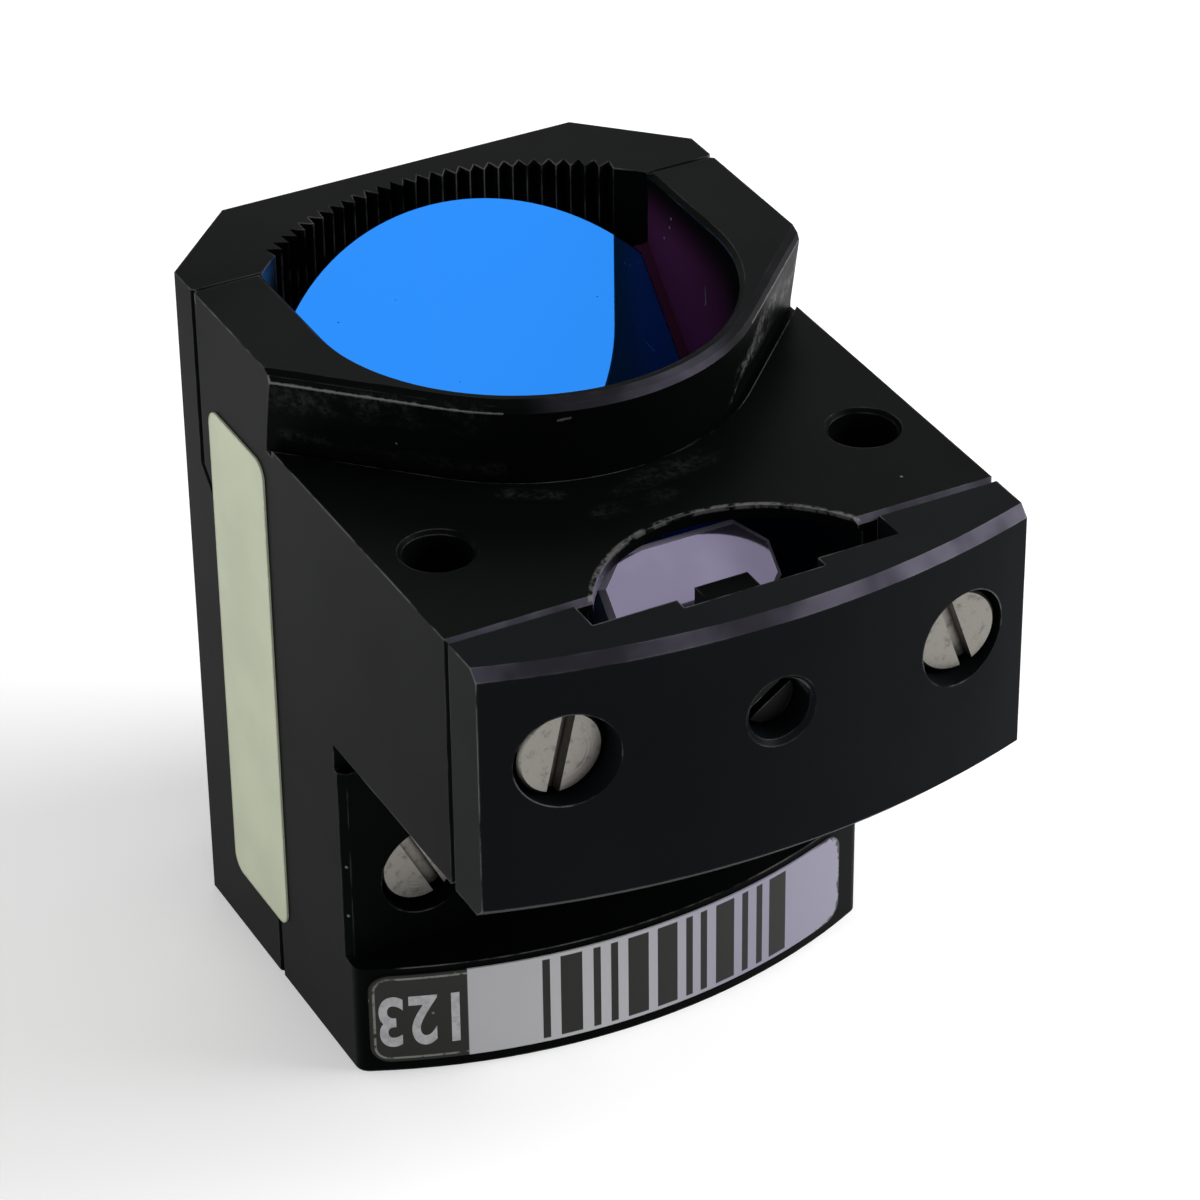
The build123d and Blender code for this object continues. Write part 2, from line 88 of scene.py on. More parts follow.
class Graph:
    """Adds nodes to one node tree and joins them. A value may be a number or a socket."""

    def __init__(self, tree):
        self.tree = tree
        self.nodes = tree.nodes
        self.nodes.clear()

    def put(self, node, key, value):
        socket = node.inputs[key]
        if isinstance(value, bpy.types.NodeSocket):
            self.tree.links.new(value, socket)
        else:
            socket.default_value = value

    def add(self, kind, values=None, **settings):
        node = self.nodes.new(kind)
        for name, value in settings.items():
            setattr(node, name, value)
        for key, value in (values or {}).items():
            self.put(node, key, value)
        return node

    def math(self, operation, *values):
        node = self.add("ShaderNodeMath", dict(enumerate(values)), operation=operation)
        return node.outputs[0]

    def vector(self, operation, *values, output=0):
        node = self.add("ShaderNodeVectorMath", dict(enumerate(values)), operation=operation)
        return node.outputs[output]

    def ramp(self, value, low, high):
        """0 at low and 1 at high, with a smooth rise between them."""
        values = {0: value, 1: low, 2: high, 3: 0.0, 4: 1.0}
        node = self.add("ShaderNodeMapRange", values, interpolation_type="SMOOTHSTEP")
        return node.outputs[0]

    def between(self, value, low, high, soft):
        """1 between low and high, with soft ends."""
        rise = self.ramp(value, low - soft, low + soft)
        fall = self.ramp(value, high + soft, high - soft)
        return self.math("MULTIPLY", rise, fall)

    def mix(self, factor, first, second):
        node = self.add("ShaderNodeMix", {0: factor, 6: first, 7: second}, data_type="RGBA")
        return node.outputs[2]

    def reach(self, across, along):
        """Distance from an axis, from the two offsets at right angles to it."""
        offset = self.add("ShaderNodeCombineXYZ", {0: across, 1: along}).outputs[0]
        return self.vector("LENGTH", offset, output=1)

    def largest(self, masks):
        result = masks[0]
        for mask in masks[1:]:
            result = self.math("MAXIMUM", result, mask)
        return result

    def product(self, *factors):
        result = factors[0]
        for factor in factors[1:]:
            result = self.math("MULTIPLY", result, factor)
        return result

    def noise(self, place, scale, detail=2.0, roughness=0.5):
        values = {"Vector": place, "Scale": scale, "Detail": detail, "Roughness": roughness}
        return self.add("ShaderNodeTexNoise", values).outputs[0]

    def effect(self, name, **inputs):
        """A shared node group, built at its first use, with its inputs set."""
        tree = bpy.data.node_groups.get(name) or MAKERS[name]()
        node = self.add("ShaderNodeGroup", node_tree=tree)
        for name, value in inputs.items():
            self.put(node, name.replace("_", " "), value)
        return node.outputs[0]

    def place(self):
        return self.add("ShaderNodeTexCoord").outputs["Object"]

    def normal(self):
        return self.add("ShaderNodeNewGeometry").outputs["Normal"]

    def parts(self, vector):
        return self.add("ShaderNodeSeparateXYZ", {0: vector}).outputs[:3]


def start_group(name, inputs, output):
    """A shader node group with named sockets: its graph, its inputs and its output node."""
    tree = bpy.data.node_groups.new(name, "ShaderNodeTree")
    for label, kind, default in inputs:
        socket = tree.interface.new_socket(name=label, in_out="INPUT", socket_type=kind)
        socket.default_value = default
    tree.interface.new_socket(name=output, in_out="OUTPUT", socket_type=FLOAT)
    graph = Graph(tree)
    given = graph.add("NodeGroupInput").outputs
    return graph, given, graph.add("NodeGroupOutput")


def make_edge_wear():
    """Rubbed edges: where a rounded normal leaves the true one on a convex corner."""
    graph, given, result = start_group("Edge Wear", [
        ("Radius", FLOAT, 0.0003), ("Amount", FLOAT, 1.0), ("Patch Scale", FLOAT, 300.0)], "Mask")
    rounded = graph.add("ShaderNodeBevel", {"Radius": given["Radius"]}, samples=6).outputs[0]
    likeness = graph.vector("DOT_PRODUCT", rounded, graph.normal(), output=1)
    turn = graph.math("SUBTRACT", 1.0, likeness)
    inside = graph.add("ShaderNodeAmbientOcclusion", {"Distance": 0.0006},
                       samples=6, inside=True, only_local=True).outputs["AO"]
    convex = graph.ramp(inside, 0.98, 0.7)
    patch = graph.ramp(graph.noise(graph.place(), given["Patch Scale"], 4.0, 0.6), 0.40, 0.62)
    corner = graph.ramp(turn, 0.01, 0.10)
    graph.put(result, 0, graph.product(corner, convex, patch, given["Amount"]))
    return graph.tree


def make_upward_facet_highlight():
    """Painted highlight on chamfers that face up, above a given height: their normal leans between two
    limits.
    """
    graph, given, result = start_group("Upward Facet", [
        ("Lowest", FLOAT, 0.0), ("Amount", FLOAT, 1.0), ("Patch Scale", FLOAT, 150.0)], "Mask")
    lean = graph.parts(graph.normal())[2]
    chamfer_highlight = graph.between(lean, 0.34, 0.86, 0.05)
    place = graph.place()
    high = graph.math("GREATER_THAN", graph.parts(place)[2], given["Lowest"])
    patch = graph.noise(place, given["Patch Scale"], 3.0, 0.6)
    uneven = graph.math("MULTIPLY_ADD", graph.ramp(patch, 0.35, 0.68), 0.75, 0.25)
    graph.put(result, 0, graph.product(chamfer_highlight, high, uneven, given["Amount"]))
    return graph.tree


def make_dust_specks():
    """Sparse dust: a small dot in a few cells of a grid."""
    graph, given, result = start_group("Dust Specks", [
        ("Cells", FLOAT, 900.0), ("Size", FLOAT, 0.09), ("Share", FLOAT, 0.12)], "Mask")
    cells = graph.add("ShaderNodeTexVoronoi", {"Vector": graph.place(), "Scale": given["Cells"]})
    dot = graph.math("LESS_THAN", cells.outputs["Distance"], given["Size"])
    chance = graph.parts(cells.outputs["Color"])[0]
    chosen = graph.math("LESS_THAN", chance, given["Share"])
    graph.put(result, 0, graph.math("MULTIPLY", dot, chosen))
    return graph.tree


def gap_to_line(graph, given, place):
    """Distance from the line between the group's Start and End."""
    along = graph.vector("SUBTRACT", given["End"], given["Start"])
    away = graph.vector("SUBTRACT", place, given["Start"])
    length = graph.vector("DOT_PRODUCT", along, along, output=1)
    share = graph.math("DIVIDE", graph.vector("DOT_PRODUCT", away, along, output=1), length)
    share = graph.add("ShaderNodeClamp", {0: share}).outputs[0]
    nearest = graph.add("ShaderNodeVectorMath", {0: along, "Scale": share}, operation="SCALE")
    return graph.vector("LENGTH", graph.vector("SUBTRACT", away, nearest.outputs[0]), output=1)


def make_thin_line():
    """One thin line between two points, thinner at its ragged sides: a scratch, and on the collar a
    painted highlight line.
    """
    graph, given, result = start_group("Thin Line", [
        ("Start", VECTOR, (0, 0, 0)), ("End", VECTOR, (0, 0, 0.001)), ("Width", FLOAT, 0.0001)],
        "Mask")
    place = graph.place()
    gap = gap_to_line(graph, given, place)
    ragged = graph.math("MULTIPLY_ADD", graph.noise(place, 2600.0, 3.0, 0.7), 2.4, -0.2)
    reach = graph.math("MULTIPLY", given["Width"], ragged)
    graph.put(result, 0, graph.ramp(gap, reach, graph.math("MULTIPLY", reach, 0.3)))
    return graph.tree


def make_scuffed_patch():
    """A hazy area of fine rubbed streaks that fades out on both sides of a line."""
    graph, given, result = start_group("Scuffed Patch", [
        ("Start", VECTOR, (0, 0, 0)), ("End", VECTOR, (0, 0, 0.001)), ("Radius", FLOAT, 0.002),
        ("Amount", FLOAT, 0.3)], "Mask")
    place = graph.place()
    gap = gap_to_line(graph, given, place)
    near = graph.ramp(gap, given["Radius"], graph.math("MULTIPLY", given["Radius"], 0.2))
    cloud = graph.ramp(graph.noise(place, 480.0, 4.0, 0.65), 0.36, 0.62)
    fine = graph.ramp(graph.noise(place, 2600.0, 4.0, 0.75), 0.38, 0.66)
    graph.put(result, 0, graph.product(near, cloud, fine, given["Amount"]))
    return graph.tree


def make_rubbed_ring():
    """The rubbed rim of a round hole whose axis runs along Y, broken up by noise."""
    graph, given, result = start_group("Rubbed Ring", [
        ("Centre X", FLOAT, 0.0), ("Centre Z", FLOAT, 0.0), ("Radius", FLOAT, 0.002),
        ("Width", FLOAT, 0.0001)], "Mask")
    place = graph.place()
    x, _, z = graph.parts(place)
    radius = graph.reach(graph.math("SUBTRACT", x, given["Centre X"]),
                         graph.math("SUBTRACT", z, given["Centre Z"]))
    gap = graph.math("ABSOLUTE", graph.math("SUBTRACT", radius, given["Radius"]))
    ring = graph.ramp(gap, given["Width"], graph.math("MULTIPLY", given["Width"], 0.4))
    broken = graph.ramp(graph.noise(place, 900.0, 3.0, 0.6), 0.40, 0.62)
    graph.put(result, 0, graph.math("MULTIPLY", ring, broken))
    return graph.tree


def make_etched_grain():
    """Height of the etched satin grain, over the slower marks of the mill."""
    graph, given, result = start_group("Etched Grain", [
        ("Grain Scale", FLOAT, 16000.0), ("Mill Scale", FLOAT, 700.0), ("Mill Share", FLOAT, 0.4)],
        "Height")
    place = graph.place()
    fine = graph.noise(place, given["Grain Scale"], 1.0)
    slow = graph.noise(place, given["Mill Scale"], 3.0, 0.6)
    graph.put(result, 0, graph.math("MULTIPLY_ADD", slow, given["Mill Share"], fine))
    return graph.tree


def make_turning_marks():
    """Height of the rings that a lathe leaves round an axis along Y."""
    graph, given, result = start_group("Turning Marks", [
        ("Centre X", FLOAT, 0.0), ("Centre Z", FLOAT, 0.0), ("Pitch", FLOAT, 0.00012)], "Height")
    x, _, z = graph.parts(graph.place())
    radius = graph.reach(graph.math("SUBTRACT", x, given["Centre X"]),
                         graph.math("SUBTRACT", z, given["Centre Z"]))
    turns = graph.math("DIVIDE", radius, given["Pitch"])
    uneven = graph.add("ShaderNodeTexNoise", {"W": turns, "Scale": 1.0, "Detail": 3.0},
                       noise_dimensions="1D").outputs[0]
    graph.put(result, 0, uneven)
    return graph.tree


def make_rounded_border():
    """Distance from the outline of a rounded rectangle, below zero inside it."""
    graph, given, result = start_group("Rounded Border", [
        ("Across", FLOAT, 0.0), ("Up", FLOAT, 0.0), ("Half Width", FLOAT, 0.01),
        ("Half Height", FLOAT, 0.003), ("Corner", FLOAT, 0.001)], "Distance")
    sides = []
    for axis, half in (("Across", "Half Width"), ("Up", "Half Height")):
        inner = graph.math("SUBTRACT", given[half], given["Corner"])
        sides.append(graph.math("SUBTRACT", graph.math("ABSOLUTE", given[axis]), inner))
    bend = graph.reach(*[graph.math("MAXIMUM", side, 0.0) for side in sides])
    flat = graph.math("MINIMUM", graph.math("MAXIMUM", *sides), 0.0)
    graph.put(result, 0, graph.math("SUBTRACT", graph.math("ADD", bend, flat), given["Corner"]))
    return graph.tree


MAKERS = {
    "Edge Wear": make_edge_wear,
    "Upward Facet": make_upward_facet_highlight,
    "Dust Specks": make_dust_specks,
    "Thin Line": make_thin_line,
    "Scuffed Patch": make_scuffed_patch,
    "Rubbed Ring": make_rubbed_ring,
    "Etched Grain": make_etched_grain,
    "Turning Marks": make_turning_marks,
    "Rounded Border": make_rounded_border,
}


def new_material(name):
    """An empty material: itself, its graph and its shader."""
    material = bpy.data.materials.new(name)
    material.use_nodes = True
    graph = Graph(material.node_tree)
    shader = graph.add("ShaderNodeBsdfPrincipled")
    output = graph.add("ShaderNodeOutputMaterial")
    graph.tree.links.new(shader.outputs[0], output.inputs["Surface"])
    return material, graph, shader


def wear_material(node, material):
    """Gives a CAD node its finish."""
    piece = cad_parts[node]
    piece.data.materials.clear()
    piece.data.materials.append(material)


def colour(value, share=1.0):
    """A colour socket's value, from a setting and the share of it that is wanted."""
    return (*[channel * share for channel in value], 1.0)


def bump(graph, shader, height, distance, strength=1.0):
    values = {"Height": height, "Distance": distance, "Strength": strength}
    graph.put(shader, "Normal", graph.add("ShaderNodeBump", values).outputs[0])


# Marks seen on the object, and painted highlight lines on the collar's bevel: start, end and width in
# millimetres
BODY_MARKS_AND_HIGHLIGHT_LINES = (
    ((-4.6, -13.8, 45.1), (-3.9, -14.0, 45.2), 0.12),
    # The next six are painted highlight lines along the lower edge of the collar's top bevel and down
    # its two left corners
    ((-18.0, -2.7, 45.73), (-10.35, -10.35, 45.73), 0.12),
    ((-10.35, -10.35, 45.73), (-9.03, -11.52, 45.73), 0.10),
    ((-9.03, -11.52, 45.73), (-7.57, -12.53, 45.73), 0.09),
    ((-18.0, -2.5, 46.3), (-18.0, -2.7, 45.7), 0.14),
    ((10.4, -10.3, 45.73), (18.0, -2.7, 45.73), 0.09),
    ((-18.0, 8.2, 46.4), (-17.9, 7.9, 45.8), 0.14),
    ((13.3, 0.9, 41.9), (13.35, 0.8, 40.7), 0.09),
    ((13.35, 0.8, 40.7), (13.3, 1.1, 40.4), 0.07),
)
PLATE_MARKS = (
    ((-9.4, -30.9, 24.0), (-9.5, -30.9, 24.3), 0.10),
    ((7.4, -32.0, 24.6), (7.5, -32.0, 24.8), 0.08),
)
MIRROR_MARKS = (
    ((-2.1, 4.5, 37.5), (-2.05, 4.5, 37.5), 0.07),
    ((-8.4, 8.5, 41.5), (-8.35, 8.5, 41.5), 0.07),
    ((8.7, 6.6, 39.6), (8.75, 6.6, 39.6), 0.06),
)

# Hazy scuffs: start, end and reach in millimetres, and strength
BODY_SCUFFS = (
    ((12.0, -8.6, 43.4), (17.8, -2.8, 43.8), 1.9, 1.60),
    ((9.4, -10.9, 42.8), (12.5, -8.0, 43.4), 1.0, 1.60),
    ((8.5, -11.1, 41.4), (9.6, -10.7, 43.0), 0.5, 1.60),
    ((-17.5, -3.0, 44.6), (-9.0, -11.2, 45.2), 1.5, 0.16),
    ((-17.0, -2.6, 42.0), (-7.5, -11.9, 41.6), 0.7, 0.14),
    ((-2.0, -16.2, 40.9), (4.2, -15.4, 40.9), 1.3, 0.16),
    ((-4.0, -18.0, 40.9), (0.5, -18.0, 40.9), 1.0, 0.14),
    ((-8.0, -13.4, 40.9), (-5.2, -15.2, 40.9), 0.8, 0.18),
)
PLATE_SCUFFS = (
    ((-9.5, -31.0, 24.2), (-8.2, -31.2, 24.2), 0.7, 0.20),
)


def thin_lines(graph, marks):
    """Mask of several thin lines: scratches, and on the collar painted highlight lines."""
    return graph.largest([
        graph.effect("Thin Line", Start=Vector(start) * MM, End=Vector(end) * MM, Width=width * MM)
        for start, end, width in marks])


def scuffs(graph, patches):
    """Mask of several scuffed areas."""
    return graph.largest([
        graph.effect("Scuffed Patch", Start=Vector(start) * MM, End=Vector(end) * MM,
                     Radius=reach * MM, Amount=amount)
        for start, end, reach, amount in patches])


class BlackFinish:
    """Satin black anodising, built up coat by coat: tone, painted highlights on upward chamfers,
    rubbed edges, and marks with some painted highlight lines.
    """

    def __init__(self, name, look):
        self.look = look
        self.material, self.graph, self.shader = new_material(name)
        self.place = self.graph.place()
        self.tone = self.graph.noise(self.place, 90.0, 3.0)
        self.tint = self.graph.mix(self.tone, colour(look.black), colour(look.black, 1.5))
        self.sheen = self.graph.math("MULTIPLY_ADD", self.tone, 0.30, look.sheen - 0.15)

    def cover(self, mask, paint):
        self.tint = self.graph.mix(mask, self.tint, colour(paint))

    def paler_black_and_back_light(self, mask=1.0):
        """The plate's own paler black, uneven, where the mask is above 0; on the rear half it is
        painted light on the back-facing faces.
        """
        uneven = self.graph.math("MULTIPLY_ADD", self.tone, 0.4, 0.6)
        self.cover(self.graph.math("MULTIPLY", uneven, mask), self.look.plate)

    # Paints a lilac highlight on the upward chamfers
    def chamfers(self, lowest, amount=1.0):
        self.cover(self.graph.effect("Upward Facet", Lowest=lowest, Amount=amount),
                   self.look.chamfer_highlight)

    def rub_edges(self, amount):
        self.cover(self.graph.effect("Edge Wear", Radius=self.look.wear_radius, Amount=amount),
                   self.look.worn)

    # Marks, scuffs and dust; on the front half the marks include painted highlight lines
    def add_marks_and_highlight_lines(self, marks=(), patches=()):
        if marks:
            self.cover(thin_lines(self.graph, marks), self.look.mark)
        if patches:
            self.cover(scuffs(self.graph, patches), self.look.mark)
        self.cover(self.graph.effect("Dust Specks", Share=self.look.dust_share), self.look.dust)

    def finish(self):
        """Joins the coats to the shader."""
        graph, shader, look = self.graph, self.shader, self.look
        graph.put(shader, "Base Color", self.tint)
        graph.put(shader, "Metallic", self.sheen)
        graph.put(shader, "Roughness", graph.math("MULTIPLY_ADD", self.tone, 0.16,
                                                  look.roughness - 0.08))
        shader.inputs["Specular IOR Level"].default_value = 0.0
        bump(graph, shader, graph.effect("Etched Grain"), 0.000003, 0.7)
        return self.material


def port_masks(graph, x, y, z):
    """Within the upper port's radius, inside the port above the mirror, and the painted purple light
    on its wall.
    """
    forward = graph.math("MINIMUM", y, 0.0)
    within = graph.ramp(graph.reach(x, forward), PORT_LIMIT + 0.0001, PORT_LIMIT - 0.0001)
    depth = graph.math("SUBTRACT", graph.math("SUBTRACT", z, y), MIRROR_CENTRE)
    inside = graph.product(within, graph.ramp(z, PORT_TOP + 0.0001, PORT_TOP - 0.0001),
                           graph.ramp(depth, -0.0010, -0.0005))
    lean = graph.parts(graph.normal())[2]
    mirror_seat = graph.ramp(lean, 0.4, 0.6)
    # Painted purple light on the port's right side: strongest near the mirror, fading with height, and
    # weaker on the up-facing seat
    wall = graph.product(inside, graph.math("MULTIPLY_ADD", mirror_seat, -0.3, 1.0),
                         graph.ramp(x, 0.004, 0.010), graph.ramp(depth, 0.0165, 0.0035),
                         graph.ramp(z, PORT_TOP, WALL_FADE))
    return within, inside, wall


def notch_masks(graph, x, y, z):
    """The rim of the ledge's notch, and the hollow below it."""
    from_notch = graph.reach(x, graph.math("ADD", y, NOTCH_AXIS))
    gap = graph.math("ABSOLUTE", graph.math("SUBTRACT", from_notch, NOTCH_RADIUS + 0.0001))
    rim = graph.math("MULTIPLY", graph.ramp(gap, 0.00026, 0.0001),
                     graph.ramp(z, LEDGE_TOP - 0.00010, LEDGE_TOP + 0.00005))
    hollow = graph.math("MULTIPLY", graph.ramp(from_notch, NOTCH_RADIUS + 0.0006, NOTCH_RADIUS),
                        graph.ramp(z, LEDGE_TOP - 0.0001, LEDGE_TOP - 0.0005))
    return rim, hollow


def front_finish(look):
    """The front half: painted purple light on the upper port's wall, and painted highlights on the
    collar's bevel and the ledge's front chamfer.
    """
    finish = BlackFinish("black_anodising_front", look)
    graph = finish.graph
    x, y, z = graph.parts(finish.place)
    within, inside, wall = port_masks(graph, x, y, z)
    # Painted purple light on the upper port's wall
    finish.cover(wall, look.wall)
    finish.sheen = graph.math("MULTIPLY", finish.sheen, graph.math("SUBTRACT", 1.0, inside))
    # Painted highlights: on the middle of the collar's top bevel, fading towards the right, and on the
    # ledge's front chamfer
    collar = graph.product(
        graph.ramp(x, -0.0065, -0.0040), graph.ramp(z, COLLAR_EDGE - 0.0002, COLLAR_EDGE + 0.0002),
        graph.math("MULTIPLY_ADD", graph.ramp(x, 0.005, 0.009), -0.85, 1.0),
        graph.math("SUBTRACT", 1.0, within))
    ledge = graph.ramp(y, -LEDGE_FRONT + 0.0002, -LEDGE_FRONT - 0.0002)
    finish.chamfers(LEDGE_EDGE, graph.math("MAXIMUM", collar, ledge))
    rim, hollow = notch_masks(graph, x, y, z)
    chipped = graph.ramp(graph.noise(finish.place, 1100.0, 4.0, 0.7), 0.42, 0.58)
    finish.cover(graph.product(rim, chipped, 0.6), look.worn)
    shown = graph.math("SUBTRACT", 1.0, graph.math("MAXIMUM", inside, hollow))
    finish.rub_edges(graph.math("MULTIPLY", shown, 0.7))
    finish.add_marks_and_highlight_lines(BODY_MARKS_AND_HIGHLIGHT_LINES, BODY_SCUFFS)
    return finish.finish()


def rear_finish(look):
    """The rear half: painted light makes its back and corners paler."""
    finish = BlackFinish("black_anodising_rear", look)
    painted_back_light = finish.graph.parts(finish.graph.normal())[1]
    finish.paler_black_and_back_light(finish.graph.ramp(painted_back_light, 0.3, 0.7))
    finish.rub_edges(0.6)
    finish.add_marks_and_highlight_lines()
    return finish.finish()


def plate_finish(look):
    """The curved plate: a painted highlight on its upper bevel, and a rubbed rim round its middle
    hole.
    """
    finish = BlackFinish("black_anodising_plate", look)
    graph = finish.graph
    finish.paler_black_and_back_light()
    finish.chamfers(PLATE_BEVEL)
    finish.rub_edges(0.8)
    ring = graph.effect("Rubbed Ring", Centre_Z=TRAP_HOLE_HEIGHT, Radius=TRAP_HOLE_RIM,
                        Width=0.00012)
    height = graph.parts(finish.place)[2]
    upper = graph.ramp(height, TRAP_HOLE_HEIGHT, TRAP_HOLE_HEIGHT + 0.0008)
    finish.cover(graph.product(ring, upper, 0.5), look.worn)
    finish.add_marks_and_highlight_lines(PLATE_MARKS, PLATE_SCUFFS)
    return finish.finish()


def inner_finish(look):
    """The hidden black parts, little worn."""
    finish = BlackFinish("black_anodising_inner", look)
    finish.rub_edges(0.3)
    return finish.finish()


class FinishSettings(bpy.types.PropertyGroup):
    """Colours and roughness of the parts."""

    black: FloatVectorProperty(
        name="Anodising", description="Black of the milled parts", subtype="COLOR",
        default=(0.0018, 0.0022, 0.0021), min=0.0, max=1.0)
    # Also used as painted light on the rear half's back-facing faces
    plate: FloatVectorProperty(
        name="Plate", description="Slightly paler black of the curved plate", subtype="COLOR",
        default=(0.0060, 0.0068, 0.0078), min=0.0, max=1.0)
    # Painted purple light on the upper port's right wall
    wall: FloatVectorProperty(
        name="Port Wall", description="Purple cast on the upper port's right wall", subtype="COLOR",
        default=(0.0540, 0.0130, 0.0420), min=0.0, max=1.0)
    # Painted lilac highlight on the upward chamfers
    chamfer_highlight: FloatVectorProperty(
        name="Chamfers", description="Rubbed anodising on the chamfers", subtype="COLOR",
        default=(0.052, 0.048, 0.064), min=0.0, max=1.0)
    worn: FloatVectorProperty(
        name="Bare Edge", description="Metal that shows on rubbed edges", subtype="COLOR",
        default=(0.150, 0.150, 0.145), min=0.0, max=1.0)
    # Scuffs and scratches, and the painted highlight lines on the collar's bevel
    mark: FloatVectorProperty(
        name="Scratches", description="Scuffs on the anodising", subtype="COLOR",
        default=(0.090, 0.088, 0.095), min=0.0, max=1.0)
    dust: FloatVectorProperty(
        name="Dust", description="Specks of dust", subtype="COLOR",
        default=(0.110, 0.110, 0.100), min=0.0, max=1.0)
    dust_share: FloatProperty(
        name="Dust Amount", description="Share of the cells that hold a speck", subtype="FACTOR",
        default=0.02, min=0.0, max=1.0)
    wear_radius: FloatProperty(
        name="Edge Wear", description="Reach of the rubbed edges", subtype="DISTANCE",
        unit="LENGTH", default=0.00018, min=0.0, max=0.002, precision=5)
    roughness: FloatProperty(
        name="Anodising Roughness", description="Roughness of the satin black", subtype="FACTOR",
        default=0.40, min=0.0, max=1.0)
    sheen: FloatProperty(
        name="Anodising Sheen", description="Share of the satin black that reflects as metal",
        subtype="FACTOR", default=0.35, min=0.0, max=1.0)
    mirror: FloatVectorProperty(
        name="Mirror", description="Colour that the coating reflects", subtype="COLOR",
        default=(0.025, 0.280, 0.985), min=0.0, max=1.0)
    mirror_dust: FloatVectorProperty(
        name="Mirror Dust", description="Dust and small marks on the mirror", subtype="COLOR",
        default=(0.004, 0.050, 0.200), min=0.0, max=1.0)
    trap: FloatVectorProperty(
        name="Trap Glass", description="Colour that the light trap's glass reflects",
        subtype="COLOR", default=(0.260, 0.235, 0.350), min=0.0, max=1.0)
    ground_glass: FloatVectorProperty(
        name="Trap Glass Edges", description="Ground facets round the light trap's glass",
        subtype="COLOR", default=(0.360, 0.335, 0.440), min=0.0, max=1.0)
    glass_edge: FloatVectorProperty(
        name="Trap Glass Chips", description="Chipped edges of the light trap's glass",
        subtype="COLOR", default=(0.550, 0.530, 0.620), min=0.0, max=1.0)
    steel: FloatVectorProperty(
        name="Screws", description="Dull nickel of the screws", subtype="COLOR",
        default=(0.215, 0.205, 0.186), min=0.0, max=1.0)
    # Painted shade in the slots and corners of the screws
    crevice_shade: FloatVectorProperty(
        name="Crevices", description="Dirt in the slots and corners of the screws",
        subtype="COLOR", default=(0.012, 0.012, 0.011), min=0.0, max=1.0)
    dark_steel: FloatVectorProperty(
        name="Set Screw", description="Blackened steel of the set screw", subtype="COLOR",
        default=(0.0040, 0.0045, 0.0045), min=0.0, max=1.0)
    felt: FloatVectorProperty(
        name="Felt", description="Felt strips behind the mirror's carrier", subtype="COLOR",
        default=(0.020, 0.020, 0.020), min=0.0, max=1.0)


class LabelSettings(bpy.types.PropertyGroup):
    """Sizes and colours of the printed films."""

    side_film: FloatVectorProperty(
        name="Side Film", description="Pale green film over the joint", subtype="COLOR",
        default=(0.550, 0.588, 0.441), min=0.0, max=1.0)
    side_dirt: FloatVectorProperty(
        name="Side Film Dirt", description="Dirt along the edge of the side film",
        subtype="COLOR", default=(0.160, 0.170, 0.120), min=0.0, max=1.0)
    side_dust: FloatVectorProperty(
        name="Side Film Dust", description="Specks on the side film", subtype="COLOR",
        default=(0.200, 0.200, 0.140), min=0.0, max=1.0)
    foot_film: FloatVectorProperty(
        name="Foot Film", description="Silver grey film on the foot", subtype="COLOR",
        default=(0.395, 0.395, 0.410), min=0.0, max=1.0)
    # Painted light: a lilac cast and a darker tone towards the film's right end
    foot_film_painted_end: FloatVectorProperty(
        name="Foot Film Far End", description="Lilac cast towards the film's right end",
        subtype="COLOR", default=(0.235, 0.223, 0.289), min=0.0, max=1.0)
    ink: FloatVectorProperty(
        name="Ink", description="Printed black", subtype="COLOR",
        default=(0.010, 0.010, 0.009), min=0.0, max=1.0)
    frame_line: FloatVectorProperty(
        name="Field Line", description="Pale line round the dark field", subtype="COLOR",
        default=(0.160, 0.170, 0.150), min=0.0, max=1.0)
    torn_end: FloatVectorProperty(
        name="Torn End", description="Nicks in the foot film's right end", subtype="COLOR",
        default=(0.050, 0.050, 0.055), min=0.0, max=1.0)
    field_dust: FloatVectorProperty(
        name="Field Dust", description="Specks on the dark field", subtype="COLOR",
        default=(0.120, 0.120, 0.110), min=0.0, max=1.0)
    numbers: StringProperty(
        name="Numbers", description="Plain numbers in the dark field", default="123")
    number_height: FloatProperty(
        name="Number Height", description="Height of the numbers", subtype="DISTANCE",
        unit="LENGTH", default=0.0037, min=0.001, max=0.006, precision=4)
    number_width: FloatProperty(
        name="Number Width", description="Width of the numbers to their height",
        subtype="FACTOR", default=0.72, min=0.3, max=1.5)
    field_end: FloatProperty(
        name="Field End", description="Right end of the dark field, along the foot",
        subtype="DISTANCE", unit="LENGTH", default=-0.0118, precision=4)


